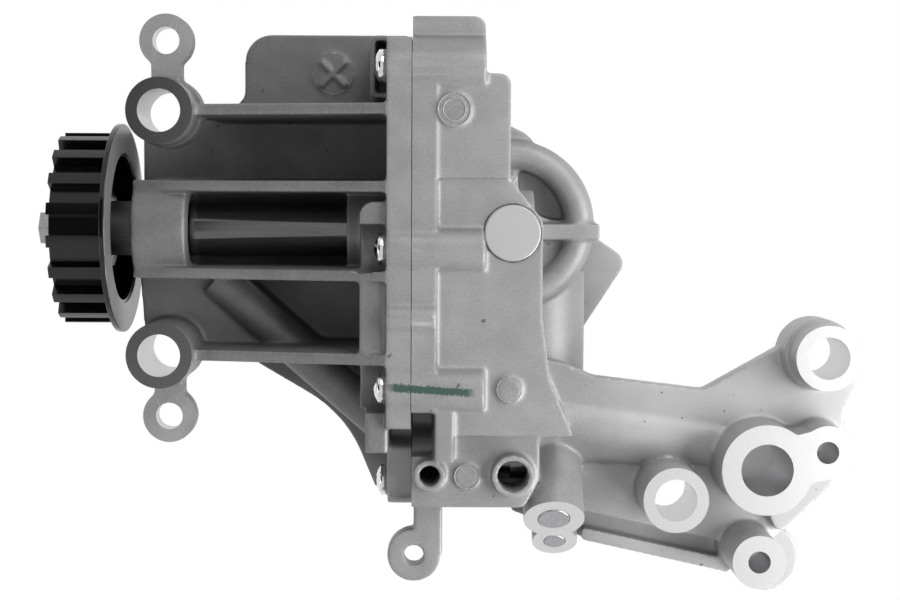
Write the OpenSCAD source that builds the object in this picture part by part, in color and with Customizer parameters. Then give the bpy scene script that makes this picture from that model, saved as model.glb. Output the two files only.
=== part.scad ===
// Belt-driven engine oil pump with a gerotor set and a relief valve.
// X runs along the drive shaft from the pulley into the pump, Z points to the engine block.
// The origin is on the shaft axis in the middle of the toothed band.

/* [Pulley] */
// Number of belt teeth on the pulley
pulley_teeth = 19; // [17:1:20]
// Belt pitch along the pitch line
belt_pitch = 8.86; // [8.5:0.01:9.2]
// Width of the toothed band
band_w = 14.3; // [10:0.1:16]
// Depth of a tooth gap
tooth_depth = 3.4; // [2.4:0.1:3.6]
// Distance from the pitch line to the tooth tips
pitch_line_gap = 0.69; // [0.4:0.01:1]
// Share of the pitch that a tooth tip covers
tooth_share = 0.33; // [0.3:0.01:0.5]
// Turn of the pulley at rest
tooth_phase = 11.4; // [0:0.1:18]
// Thickness of the pressed guide flange
guide_t = 1.5; // [1:0.1:2]
// How far the guide flange stands over the tooth tips
guide_rise = 2.55; // [1:0.05:3]
// Radius of the hollow in the pulley's inner side
pulley_hollow_r = 19.8; // [18:0.1:20]
// Thickness of the pulley web
pulley_web_t = 5.5; // [4:0.1:7]
// Radius of the pulley hub
pulley_hub_r = 10.5; // [9:0.1:12]
// Thickness of the lip that the guide flange is pressed on
guide_lip_t = 0.8; // [0.6:0.1:1.2]

/* [Pulley bolt] */
// Thread radius of the pulley bolt
bolt_r = 3; // [2.5:0.1:3.5]
// Length of the pulley bolt's shank
bolt_len = 20; // [14:1:26]
// Width across flats of the bolt head
bolt_flats = 8.5; // [7:0.5:10]
// Height of the bolt head
bolt_head_h = 5.6; // [4:0.1:6]
// Radius of the washer
washer_r = 8; // [7:0.1:10]
// Thickness of the washer
washer_t = 1.5; // [1:0.1:2]

/* [Shaft and bushes] */
// Radius of the drive shaft
shaft_r = 7.5; // [7:0.1:8]
// Radius of the shaft nose under the pulley
nose_r = 6; // [5.5:0.1:6.5]
// Running clearance of the shaft in its bushes
shaft_gap = 0.04; // [0.02:0.01:0.08]
// Clearance of the shaft in the housing wall next to the rotors
wall_gap = 0.1; // [0.06:0.01:0.1]
// Wall of the front bush
front_bush_wall = 1.96; // [1.5:0.02:2.5]
// Wall of the rear bush
rear_bush_wall = 1.5; // [1.2:0.02:2]
// Length of the rear bush
rear_bush_len = 11; // [9:0.5:12]
// Width and height of both keys
key_w = 3; // [2.5:0.1:3.5]
// Depth of a key in the shaft
key_depth = 1.5; // [1.2:0.1:1.8]
// Length of the pulley key
pulley_key_len = 8; // [6:0.5:9]
// Length of the rotor key
rotor_key_len = 12; // [8:0.5:15]

/* [Rotors] */
// Lobes of the inner rotor
inner_lobes = 6; // [6:1:6]
// Distance between the two rotor axes
rotor_offset = 2; // [1.9:0.05:2.05]
// Radius of the circle of the outer rotor's lobe centres
lobe_ring_r = 17.1; // [17:0.05:17.3]
// Radius of an outer rotor lobe
lobe_r = 5.1; // [5:0.05:5.2]
// Outside radius of the outer rotor
outer_rotor_r = 20; // [19.5:0.1:20.2]
// Gap between the two rotors' teeth
tip_gap = 0.08; // [0.05:0.01:0.1]
// Radial clearance of the outer rotor in its pocket
pocket_gap = 0.08; // [0.05:0.01:0.1]
// Depth of the rotor pocket
pocket_depth = 18; // [14:0.5:19]
// End clearance of the rotors on each side
end_gap = 0.05; // [0.03:0.01:0.08]

/* [Front housing] */
// Distance from the pulley centre to the housing's front face
nose_x = 12.8; // [12:0.1:13.5]
// Length of the front bearing boss
bearing_len = 14.6; // [12:0.1:16]
// Radius of the front bearing boss
bearing_boss_r = 16; // [14:0.5:17]
// Distance from the pulley centre to the seam
seam_x = 88; // [86:0.5:90]
// Thickness of the housing's seam flange
seam_flange_t = 6.6; // [6:0.1:8]
// Outside radius of the trough around the shaft
trough_r = 13; // [12:0.5:13]
// Inside radius of the trough around the shaft
trough_bore_r = 10; // [9.5:0.1:10.5]
// Length of the solid wall behind the trough
trough_end_t = 11.1; // [10:0.1:12]
// Thickness of the ribs
rib_t = 3; // [2.5:0.1:3.5]
// Height of the ribs at the housing's front face
rib_low_z = 12; // [10:0.5:13]
// Height of the ribs at the seam flange
rib_high_z = 28; // [27:0.5:29]
// Thickness of the housing's plates
plate_t = 3; // [3:0.5:4]
// Level of the upper plate
upper_plate_z = -22; // [-24:0.5:-20]
// Level of the wing
wing_z = -6; // [-10:0.5:-2]
// Level of the lower plate beside the bearing
lower_plate_z = -2.5; // [-5:0.5:-2]
// Level of the deep lower plate beside the seam
deep_plate_z = -16; // [-20:0.5:-14]
// Gap between the pulley's guide flange and the housing's plates
pulley_room = 1; // [1:0.1:2]
// Radius of the diagonal oil gallery on the lower plate
gallery_ridge_r = 5.5; // [5:0.1:6]

/* [Seam] */
// Height of the flange edge that faces the block
flange_top_z = 28; // [28:0.5:30]
// Radius of the screw bosses
screw_boss_r = 6.1; // [5.8:0.1:6.5]
// Radius of the wide boss around the top screw
top_boss_r = 7.7; // [7.5:0.1:8.2]
// Thickness of the pump body's seam flange
body_flange_t = 6.5; // [5.5:0.1:7.5]
// Radius of the dowel pins
dowel_r = 2; // [1.5:0.1:2.5]
// Length of the dowel pins
dowel_len = 10; // [8:0.5:12]

/* [Screws] */
// Thread radius of the housing screws
screw_r = 2.5; // [2:0.1:2.6]
// Length of the screw shank
screw_len = 20; // [16:1:22]
// Head radius of the screws
screw_head_r = 4.3; // [4.2:0.05:4.8]
// Head height of the screws
screw_head_h = 3.4; // [3:0.1:4]
// Clearance of the screws in the housing's holes
screw_gap = 0.25; // [0.15:0.05:0.4]

/* [Pump body] */
// Level of the body's flat face
body_top_z = 26; // [25:0.5:27]
// How much higher the upper field of that face lies
upper_field_rise = 1.5; // [0.5:0.1:2]
// Level of the lower ledge that holds the relief valve
ledge_z = 20; // [19:0.5:21]
// Radius of the rotor chamber's outside
chamber_r = 26; // [25:0.5:27]
// Depth of the kidney-shaped ports in the pocket's end wall
port_depth = 4; // [3.5:0.5:4.5]
// Inside radius of the ports
port_r0 = 11.2; // [11:0.1:11.6]
// Outside radius of the ports
port_r1 = 15.6; // [15:0.1:15.8]
// Radius of the core plug
core_plug_r = 7.4; // [7:0.1:7.8]
// Thickness of the core plug
core_plug_t = 3; // [2:0.1:4]
// How far the core plug stands proud of the face
core_plug_rise = 0.8; // [0.4:0.1:1.2]

/* [Suction side] */
// Level of the sump-side face that the pump lies on
base_z = -44; // [-46:0.5:-43]
// Radius of the suction dome
dome_r = 24; // [23:0.1:24.5]
// Radius of the dome's rounded rim
dome_rim_r = 4; // [3:0.1:4.5]
// Level of the dome rim's centre
dome_rim_z = -9; // [-11:0.5:-8]
// Radius of the suction bore
suction_r = 10.5; // [9.5:0.1:11]
// Thickness of the suction flange
suction_flange_t = 7; // [6:0.5:8]
// Tapping radius of the threaded holes on the sump side
sump_thread_r = 2.5; // [2:0.1:3]
// Depth of the threaded holes on the sump side
sump_thread_depth = 11; // [8:0.5:12]
// Radius of the sump-side feet
foot_r = 6.5; // [6:0.1:7.5]

/* [Arm and outlet] */
// Level of the machined faces that bolt to the engine block
block_z = 20; // [19:0.5:21]
// Level of the arm's upper plate
arm_plate_z = 5; // [3:0.5:6]
// Thickness of the arm's upper plate
arm_plate_t = 6; // [5.5:0.5:8]
// Level of the arm's lower plate
arm_low_z = 0; // [-2:0.5:1]
// Level of the arm's underside
arm_under_z = -10; // [-11:0.5:-8]
// Level of the seats for the bolt heads under the arm
arm_seat_z = -3; // [-4:0.5:-2]
// Length of the delivery duct in the arm
duct_len = 74; // [70:0.5:80]
// Outside radius of the delivery duct
duct_r = 11.7; // [11:0.1:12]
// Inside radius of the delivery duct
duct_bore_r = 6.5; // [6:0.1:7]
// Level of the delivery duct's axis
duct_z = -3; // [-4:0.5:-2]
// Radius of the outlet port
outlet_r = 7; // [6.5:0.1:7.5]
// Radius of the outlet port's machined face
outlet_face_r = 12.2; // [11.8:0.1:12.6]
// Radius of the threaded holes beside the outlet
port_thread_r = 3; // [2.5:0.1:3.3]
// Depth of the threaded holes beside the outlet
port_thread_depth = 16; // [12:1:20]
// Radius of the machined face around a small threaded hole
port_thread_face_r = 7.25; // [6.5:0.05:8]

/* [Block bosses] */
// Radius of the four block bolt holes
block_hole_r = 5.65; // [5.2:0.05:6]
// Radius of the block boss faces
block_boss_r = 8.8; // [8.4:0.1:9.2]
// Radius of the small ears
ear_r = 7.2; // [6.8:0.1:7.6]
// Hole radius of the small ears
ear_hole_r = 3.6; // [3:0.1:4]
// Thickness of the small ears
ear_t = 6; // [4:0.5:7]
// Level of the front ears' faces
ear_z = 9; // [7:0.5:10]
// Hole radius of the seam ear
seam_ear_hole_r = 2.7; // [2.4:0.1:3]
// Level of the seam ear's face
seam_ear_z = 15; // [13:0.5:16]

/* [Relief valve] */
// Radius of the relief valve's bore
relief_r = 4.5; // [4.2:0.1:4.6]
// Radial clearance of the relief piston
relief_gap = 0.03; // [0.02:0.01:0.06]
// Length of the relief piston
piston_len = 15; // [14:0.5:15.5]
// Length of the piston's nose
piston_nose_len = 0.8; // [0.6:0.1:0.9]
// Depth of the relief bore from the seam
relief_depth = 32; // [31:0.5:32.5]
// Wire radius of the relief spring
spring_wire_r = 0.55; // [0.4:0.05:0.6]
// Turns of the relief spring
spring_turns = 7; // [5:1:7]
// Thickness of the spring seat
spring_seat_t = 1.2; // [0.8:0.1:1.6]
// Hole radius of the vent above the relief spring
vent_r = 2.7; // [2.3:0.1:2.9]
// Hole radius of the spill port above the relief piston
spill_r = 4.1; // [3.6:0.1:4.2]
// Height of the two hole bosses
hole_boss_z = 24; // [23:0.5:25]

/* [Gallery plugs] */
// Radius of the large inclined boss
big_boss_r = 8.3; // [7.8:0.1:8.6]
// Radius of the large plug
big_plug_r = 4.3; // [4:0.1:4.6]
// Radius of the small inclined boss
small_boss_r = 6.3; // [6:0.1:6.6]
// Radius of the small plug
small_plug_r = 3; // [2.7:0.1:3.3]
// Thickness of both plugs
gallery_plug_t = 5; // [4:0.5:6]
// How far the plugs stand proud of their bosses
gallery_plug_rise = 0.3; // [0.1:0.1:0.8]
// Tilt of the inclined bosses from the shaft's plane
gallery_tilt = 45; // [40:1:50]

/* [Hidden] */
$fn = 64;
overlap = 0.5;
far = 200;
full_turn = 360;

// Pulley, worked out from the belt
pitch_r = pulley_teeth * belt_pitch / (2 * PI);
band_r = pitch_r - pitch_line_gap;
band_x0 = -band_w / 2;
band_x1 = band_w / 2;
guide_r = band_r + guide_rise;
guide_lip_r = pulley_hollow_r + guide_lip_t;
guide_lip_len = guide_t * 2 / 3;
tooth_pitch_angle = full_turn / pulley_teeth;

// Shaft and bushes
nose_x1 = band_x1 - 2.2;
shaft_x0 = band_x0 + 0.3;
front_bush_x0 = nose_x + 0.7;
front_bush_x1 = nose_x + bearing_len - 2;
front_bush_r = shaft_r + shaft_gap + front_bush_wall;
rear_bush_r = shaft_r + shaft_gap + rear_bush_wall;
pocket_x1 = seam_x + pocket_depth;
bush_step = 1;
rear_bush_x0 = pocket_x1 + bush_step;
shaft_x1 = rear_bush_x0 + rear_bush_len;
rotor_key_x = seam_x + (pocket_depth - rotor_key_len) / 2;
rotor_key_turn = 90;
pulley_key_x = band_x0 + 2.2;
key_gap = 0.02;
bolt_gap = 0.25;

// Rotors
outer_lobes = inner_lobes + 1;
valley_crowding = 0.9;
inner_tip_r = lobe_ring_r - lobe_r + rotor_offset;
outer_valley_r = inner_tip_r + rotor_offset + tip_gap;

// Seam
seam_flange_x = seam_x - seam_flange_t;
screw_places = [[43, 24], [-4.6, 24], [-41.3, 24], [-69.4, 2], [42, -24], [8, -35.5], [-40, -29]];
screw_boss_x1 = seam_flange_x + screw_len + 4;
top_boss_z = 22;
thread_x1 = seam_flange_x + screw_len + 1.5;
dowel_places = [[-22.5, 26], [24, -32]];
dowel_wall = 2;
flange_outline = [[50.5, flange_top_z, 4], [50.5, -32, 10], [10, -42.5, 12], [-32, -39, 12],
                  [-58, -24, 10], [-74.9, -4, 5], [-74.9, 14.5, 8]];
body_flange_outline = concat(flange_outline, [[-56.5, 14.5, 6], [-54, 6, 2], [-47.5, 6, 2],
                                              [-47.5, flange_top_z, 2]]);
housing_flange_outline = concat(flange_outline, [[-58, 14.5, 2], [-56.5, 8, 2], [-52.4, 8, 1],
                                                 [-51.7, flange_top_z, 2]]);

// Places on the front housing
long_rib_x0 = 32;
rib_x0 = [long_rib_x0, nose_x, nose_x, long_rib_x0];
rib_y = [33.4, 13.2, -10.1, -32];
rib_foot = [upper_plate_z - plate_t, upper_plate_z - plate_t, lower_plate_z - plate_t,
            deep_plate_z - plate_t];
trough_x0 = nose_x + bearing_len;
trough_x1 = seam_flange_x - trough_end_t;
column_x = seam_x - 13.7;
column_y = -47;
column_low_y = -58.5;
column_step = 1.6;
saddle_y1 = 7.9;
saddle_low_z = 7.5;
wing_frame_y = [35, 51.4];
wing_frame_x = seam_flange_x - 4.6;
wing_frame_z = 19;
wing_frame_wall = 1.4;
wing_pocket_z = 6;
scoop_r = screw_head_r + 2.2;
plate_x0 = band_x1 + guide_t + pulley_room;
front_top_boss = [21.4, 31.4];
front_top_boss_foot = -1;
front_top_skirt_z = 8;
front_top_skirt = 0.8;
front_low_boss = [21.0, -33.3];
front_top_ear = [21.6, 50.6];
front_low_ear = [21.9, -50.9];
housing_foot_top = [44, 24];
housing_foot_low = [66, -44];
pad_place = [65.5, 43];
gallery_start = [33, -14];
plate_x1 = seam_x - 1;
lower_plate_y = -8;
upper_plate_outline = [[plate_x0, 8, 1], [plate_x1, 8, 1], [plate_x1, 35, 1], [21.8, 35, 1],
                       [20.5, 27.3, 3], [plate_x0, 27.3, 1]];
wing_outline = [[32, 31, 1], [32, 33.6, 0.5], [41, 33.6, 5], [41, 53.8, 7.5], [plate_x1, 53.8, 1],
                [plate_x1, 31, 1]];
lower_plate_outline = [[plate_x0 + 2, lower_plate_y, 1], [34, lower_plate_y, 1], [64, -34, 1],
                       [plate_x0 + 4, -34, 1]];
step_outline = [[24, lower_plate_y, 1], [34, lower_plate_y, 1], [64, -34, 1], [47, -34, 1]];
deep_plate_outline = [[30, lower_plate_y, 1], [plate_x1, lower_plate_y, 1], [plate_x1, -75, 1],
                      [seam_x - 10.8, -75, 1], [seam_x - 19.7, -53.7, 36], [43, -38.8, 1],
                      [43, -32, 1]];

// Places on the pump body and its arm
shoulder_x = seam_x + 25.6;
shoulder_outline = [[seam_x + 17, 31, 1], [seam_x + 26.5, 29.4, 1], [seam_x + 31.1, 27.2, 2],
                    [seam_x + 33.6, 25, 1], [seam_x + 27, 12, 1], [seam_x + 17, 12, 1]];
shoulder_low_z = -30;
body_flange_x1 = seam_x + body_flange_t - 0.5;
body_low_z = -20;
body_x1 = seam_x + 34.3;
rear_bore_x1 = shaft_x1 + 1;
rear_boss_wall = 2;
top_block_x = seam_x + 19.2;
top_block_y = 56.2;
top_block_z = 22;
top_block_low_z = -16;
field_y = 14;
field_y1 = 41;
ledge_y = -53.5;
body_outline = [[seam_x, field_y1, 0.5], [shoulder_x, field_y1, 2.8], [shoulder_x, field_y, 3],
                [body_x1, 3, 3], [body_x1, -22, 8], [seam_x + 36.4, -38.6, 8],
                [seam_x + 42.8, ledge_y, 0.5], [seam_x + 6.2, ledge_y, 0.5], [seam_x + 6.2, -47.2, 0.5],
                [seam_x, -47.2, 0.5]];
ledge_x1 = seam_x + 34.3;
ledge_step_y = -60;
ledge_low_z = -14;
bridge_x = [seam_x + 6.2, seam_x + 11.3];
bridge_y = [-60.5, -44];
pads = [[seam_x + 10.9, 31.6, body_top_z + upper_field_rise + 0.8, 4.4],
        [seam_x + 25.7, -41.2, body_top_z + 0.8, 3.5],
        [seam_x + 14.8, -65.2, ledge_z + 0.8, 3.5]];
body_low_y = -73.8;
core_plug_place = [seam_x + 26.3, -0.2];
dome_place = [seam_x + 26.9, 1.3];
suction_place = [seam_x + 31, -7];
suction_bore_z1 = -13;
suction_link = [-8, -15.5];
suction_link_r = 5.5;
suction_thread_places = [[seam_x + 55.5, -10], [seam_x + 9, -2], [seam_x + 41, -34]];
suction_flange_outline = [[seam_x + 64, -9.6, 4], [seam_x + 43, -42, 6], [seam_x + 16, -36, 9],
                          [seam_x + 1, -12, 6], [seam_x + 1, 3, 6], [seam_x + 18, 19, 9],
                          [seam_x + 38, 8.2, 7]];
dome_floor_z = dome_rim_z - 1;
dome_pocket_place = [seam_x + 41.5, 14.5];
dome_pocket_r = 12;
dome_pocket_z = -17;
dome_rib_x1 = seam_x + 52.2;
dome_rib_y = [-2.9, 1.8];
dome_rib_z = [-30, -4.5];
seam_ear_place = [seam_x + 0.7, -87.8];
seam_ear_neck = [seam_x + 0.6, seam_x + 8.4];
duct_x = seam_x + 22;
duct_y = -53.4;
duct_turn = 3.6;
arm_x = duct_x + duct_len;
duct_end_r = 8.4;
outlet_low_z = -13;
neck_place = [seam_x + 36, -46, -22];
neck_len = 34;
neck_r = 13.5;
outlet_place = [arm_x - 0.8, -63.4];
outlet_bolt_place = [arm_x + 15.3, -58.6];
low_thread_place = [arm_x - 2.5, -88.3];
arm_top_boss = [arm_x + 15.1, -33.3];
arm_mid_boss = [arm_x - 25.1, -71.6];
arm_foot_place = [arm_x + 4, -60];
arm_boss_step_z = 11;
arm_upper_outline = [[seam_x + 28, -34, 1], [seam_x + 41, -36, 9], [seam_x + 50, -40, 5],
                     [arm_x - 15.7, -43.6, 3], [arm_x + 6.5, -31, 3], [arm_x + 20, -26, 6],
                     [arm_x + 26.5, -36, 4], [arm_x + 27, -42, 4], [arm_x + 23.2, -50, 4],
                     [arm_x + 24, -60, 5], [arm_x + 20.8, -70, 4], [arm_x + 5.6, -84.3, 2],
                     [arm_x - 8, duct_y, 1], [seam_x + 28, duct_y, 1]];
arm_lower_outline = [[seam_x + 28, duct_y + 1, 1], [arm_x + 16, duct_y + 1, 1], [arm_x + 20.8, -70, 4],
                     [arm_x + 5.6, -84.3, 2], [arm_x - 6, -87.6, 1], [seam_x + 49, -78.7, 1],
                     [seam_x + 28, -74.5, 1]];
groove_outline = [[seam_x + 28, -70, 1], [arm_x - 4, -80, 1], [arm_x - 4, -97, 2],
                  [arm_x - 10, -96.2, 3], [seam_x + 49.5, -88, 1], [seam_x + 28, -80, 1]];
groove_z = arm_under_z + 2;
low_rib_outline = [[seam_x + 48, -83.9, 0.5], [arm_x - 6, -92.9, 0.5], [arm_x - 6, -96.9, 0.5],
                   [seam_x + 48, -87.6, 0.5]];
low_rib_z = arm_low_z - 4;
outlet_web_outline = [[arm_x + 2, -55.5, 1], [arm_x + 8.5, -53.5, 3], [arm_x + 16, -51.6, 1],
                      [arm_x + 17, -65.5, 1], [arm_x + 10, -67, 3], [arm_x + 2, -74, 1]];
corner_place = [arm_x + 3.4, -91.6];
corner_r = 9.5;
corner_z = -1;
relief_y = -63;
relief_z = 9.5;
vent_x = seam_x + 4.9;
spill_x = seam_x + 27;
hole_boss_y = -64.6;
hole_boss_wall = 1.6;
delivery_x = seam_x + 24.5;
delivery_z = 15;
delivery_r = 4.5;
core_hole_r = core_plug_r - 1.9;
core_plug_z1 = body_top_z + core_plug_rise;
big_boss_place = [seam_x + 38.6, -77.7, 15];
small_boss_place = [seam_x + 39.8, -86.6, 2];
big_boss_len = 32;
small_boss_len = 26;
small_gallery_len = 20;
plug_thread_run = 3;
plug_step = 1;

// Relief valve, worked out from the bore's closed end
relief_x1 = seam_x + relief_depth;
piston_x0 = relief_x1 - piston_nose_len - piston_len;
spring_coil_r = relief_r - 1.4;
spring_x0 = seam_x + spring_seat_t;
relief_feed_r = 1.2;

function unit(v) = v / norm(v);
function fillet(a, b, c, r, steps = 8) =
    let (p = [b[0], b[1]])
    let (u = unit([a[0], a[1]] - p))
    let (v = unit([c[0], c[1]] - p))
    let (half = acos(u * v) / 2)
    let (mid = p + unit(u + v) * r / sin(half))
    let (start = p + u * r / tan(half) - mid)
    let (stop = p + v * r / tan(half) - mid)
    let (a0 = atan2(start[1], start[0]))
    let (turn = atan2(stop[1], stop[0]) - a0)
    let (sweep = turn > 180 ? turn - full_turn : turn < -180 ? turn + full_turn : turn)
    [for (i = [0:steps]) mid + r * [cos(a0 + sweep * i / steps), sin(a0 + sweep * i / steps)]];
function rounded(points) =
    let (n = len(points))
    [for (i = [0:n - 1])
        for (q = fillet(points[(i + n - 1) % n], points[i], points[(i + 1) % n], points[i][2])) q];
function rib_z(x) = rib_low_z + (rib_high_z - rib_low_z) * (x - nose_x) / (seam_flange_x - nose_x);

module along_x(x0, x1, r, y = 0, z = 0) {
    translate([x0, y, z])
        rotate([0, 90, 0])
            cylinder(h = x1 - x0, r = r);
}

module along_z(place, z0, z1, r) {
    translate([place[0], place[1], z0])
        cylinder(h = z1 - z0, r = r);
}

module slab(points, z0, z1) {
    translate([0, 0, z0])
        linear_extrude(z1 - z0)
            polygon(rounded(points));
}

module cross_section_slab(points, x0, x1) {
    translate([x0, 0, 0])
        rotate([90, 0, 90])
            linear_extrude(x1 - x0)
                polygon(rounded(points));
}

module block(x, y, z) {
    translate([x[0], y[0], z[0]])
        cube([x[1] - x[0], y[1] - y[0], z[1] - z[0]]);
}

module housing_rib(i) {
    translate([0, rib_y[i], 0])
        rotate([90, 0, 0])
            linear_extrude(rib_t)
                polygon([[rib_x0[i], rib_foot[i]], [rib_x0[i], rib_z(rib_x0[i])],
                         [seam_flange_x + overlap, rib_z(seam_flange_x)],
                         [seam_flange_x + overlap, rib_foot[i]]]);
}

// Web from the end of a rib to the middle of its block boss, with a sloping foot
module boss_web(x1, x0, y, foot1, foot0) {
    translate([0, y, 0])
        rotate([90, 0, 0])
            linear_extrude(rib_t)
                polygon([[x0, foot0], [x0, rib_z(x1)], [x1 + 1, rib_z(x1 + 1)], [x1 + 1, foot1]]);
}

module ear(place, boss) {
    neck = 8;
    y0 = min(place[1], boss[1]);
    y1 = max(place[1], boss[1]);
    along_z(place, ear_z - ear_t, ear_z, ear_r);
    block([place[0] - neck / 2, place[0] + neck / 2], [y0, y1], [ear_z - ear_t, ear_z]);
}

module cast_pad(place, z) {
    ring_r = 5.9;
    bar = 1;
    rise = 0.5;
    along_z(place, z - overlap, z + rise / 2, ring_r);
    for (a = [45, 135])
        translate([place[0], place[1], z])
            rotate([0, 0, a])
                translate([-ring_r * 0.8, -bar / 2, 0])
                    cube([ring_r * 1.6, bar, rise * 2]);
}

module front_housing_solid() {
    cross_section_slab(housing_flange_outline, seam_flange_x, seam_x);
    for (p = screw_places)
        along_x(seam_flange_x, seam_x, screw_boss_r, p[0], p[1]);
    along_x(seam_flange_x, seam_x, top_boss_r, screw_places[0][0], top_boss_z);
    along_x(seam_flange_x, seam_x, dowel_r + dowel_wall, dowel_places[0][0], dowel_places[0][1]);
    intersection() {
        along_x(nose_x, nose_x + bearing_len, bearing_boss_r);
        block([nose_x, seam_x], [rib_y[2] - rib_t, rib_y[1]], [-far, far]);
    }
    along_x(nose_x, seam_x, trough_r);
    for (i = [0:3])
        housing_rib(i);
    slab(upper_plate_outline, upper_plate_z - plate_t, upper_plate_z);
    slab(wing_outline, wing_z - plate_t, wing_z);
    slab(lower_plate_outline, lower_plate_z - plate_t, lower_plate_z);
    slab(step_outline, deep_plate_z - plate_t, lower_plate_z);
    slab(deep_plate_outline, deep_plate_z - plate_t, deep_plate_z);
    block([column_x, seam_flange_x + overlap], [column_y, rib_y[2]], [deep_plate_z, body_top_z]);
    block([column_x + column_step, seam_flange_x + overlap], [column_low_y, column_y + 1],
          [deep_plate_z, body_top_z - column_step]);
    slab([[column_x, rib_y[2] - 1, 0.5], [seam_flange_x + overlap, rib_y[2] - 1, 0.5],
          [seam_flange_x + overlap, saddle_y1, 0.5], [column_x, saddle_y1, 4]], saddle_low_z, body_top_z);
    slab([[wing_frame_x, wing_frame_y[0], 1.5], [seam_flange_x + overlap, wing_frame_y[0], 0.3],
          [seam_flange_x + overlap, wing_frame_y[1], 0.3], [wing_frame_x, wing_frame_y[1], 1.5]],
         wing_z - 1, wing_frame_z);
    along_z(front_top_boss, front_top_boss_foot, block_z, block_boss_r);
    along_z(front_top_boss, front_top_boss_foot, front_top_skirt_z, block_boss_r + front_top_skirt);
    along_z(front_low_boss, lower_plate_z - plate_t, block_z, block_boss_r);
    boss_web(rib_x0[0], front_top_boss[0], rib_y[0], rib_foot[0], front_top_boss_foot);
    boss_web(rib_x0[3], front_low_boss[0], rib_y[3], lower_plate_z - plate_t, lower_plate_z - plate_t);
    ear(front_top_ear, front_top_boss);
    ear(front_low_ear, front_low_boss);
    along_z(housing_foot_top, base_z, upper_plate_z, foot_r);
    along_z(housing_foot_low, base_z, deep_plate_z, foot_r);
    cast_pad(pad_place, wing_z);
}

module gallery_ridge() {
    gallery_angle = -41;
    gallery_len = 64;
    translate([gallery_start[0], gallery_start[1], lower_plate_z - 2])
        rotate([0, 0, gallery_angle])
            rotate([0, 90, 0])
                cylinder(h = gallery_len, r = gallery_ridge_r);
}

module front_housing() color("dimgray") {
    difference() {
        union() {
            front_housing_solid();
            intersection() {
                gallery_ridge();
                block([nose_x, plate_x1], [body_low_y, lower_plate_y], [base_z, flange_top_z]);
            }
        }
        along_x(nose_x - 1, trough_x0 + 1, front_bush_r);
        block([trough_x0, trough_x1], [-trough_bore_r, trough_bore_r], [0, far]);
        along_x(trough_x0, trough_x1, trough_bore_r);
        along_x(trough_x0, seam_x + 1, shaft_r + wall_gap);
        for (p = screw_places)
            along_x(seam_flange_x - 1, seam_x + 1, screw_r + screw_gap, p[0], p[1]);
        for (i = [1:2])
            along_x(column_x - 1, seam_flange_x, scoop_r, screw_places[i][0], screw_places[i][1]);
        for (p = dowel_places)
            along_x(seam_x - dowel_len / 2, seam_x + 1, dowel_r, p[0], p[1]);
        along_z(front_top_boss, base_z - 1, block_z + 1, block_hole_r);
        along_z(front_low_boss, base_z - 1, block_z + 1, block_hole_r);
        along_z(front_top_ear, ear_z - ear_t - 1, ear_z + 1, ear_hole_r);
        along_z(front_low_ear, ear_z - ear_t - 1, ear_z + 1, ear_hole_r);
        along_z(housing_foot_top, base_z - 1, base_z + sump_thread_depth, sump_thread_r);
        along_z(housing_foot_low, base_z - 1, base_z + sump_thread_depth, sump_thread_r);
        block([wing_frame_x + wing_frame_wall, seam_flange_x],
              [wing_frame_y[0] + wing_frame_wall, wing_frame_y[1] - wing_frame_wall], [wing_pocket_z, far]);
    }
}

module inclined(place, h0, h1, r) {
    translate(place)
        rotate([gallery_tilt, 0, 0])
            translate([0, 0, h0])
                cylinder(h = h1 - h0, r = r);
}

module body_block_solid() {
    cross_section_slab(body_flange_outline, seam_x, seam_x + body_flange_t);
    for (i = [0:6])
        along_x(seam_x, i < 3 ? top_block_x : screw_boss_x1, screw_boss_r,
                screw_places[i][0], screw_places[i][1]);
    along_x(seam_x, top_block_x, top_boss_r, screw_places[0][0], top_boss_z);
    along_x(seam_x, seam_x + body_flange_t, dowel_r + dowel_wall, dowel_places[0][0], dowel_places[0][1]);
    slab(body_outline, body_low_z, body_top_z);
    slab([[seam_x + 1, field_y1, 0.5], [shoulder_x, field_y1, 2.8], [shoulder_x, field_y, 0.5],
          [seam_x + 1, field_y, 0.5]], 0, body_top_z + upper_field_rise);
    slab(shoulder_outline, shoulder_low_z, dome_rim_z);
    slab([[seam_x, field_y1 - 3, 0.5], [seam_x, top_block_y, 0.5], [top_block_x, top_block_y, 3],
          [top_block_x, field_y1 - 3, 0.5]], top_block_low_z, top_block_z);
    slab([[body_flange_x1, ledge_y + 4, 0.5], [ledge_x1, ledge_y + 4, 0.5], [ledge_x1, -66, 3],
          [ledge_x1 - 4, body_low_y, 3], [seam_x, body_low_y, 0.5], [seam_x, ledge_step_y, 0.5],
          [body_flange_x1, ledge_step_y, 0.5]], ledge_low_z, ledge_z);
    block(bridge_x, bridge_y, [0, body_top_z + 1]);
    along_x(seam_x, pocket_x1 + port_depth + 1, chamber_r, -rotor_offset, 0);
    along_x(pocket_x1, rear_bore_x1 + rear_boss_wall, rear_bush_r + rear_boss_wall);
    along_z([vent_x, hole_boss_y], 0, hole_boss_z, vent_r + hole_boss_wall);
    along_z([spill_x, hole_boss_y], 0, hole_boss_z, spill_r + hole_boss_wall);
    for (p = pads)
        along_z(p, 0, p[2], p[3]);
    along_z(seam_ear_place, seam_ear_z - ear_t, seam_ear_z, ear_r);
    block(seam_ear_neck, [seam_ear_place[1], body_low_y + overlap], [seam_ear_z - ear_t, seam_ear_z]);
}

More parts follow.
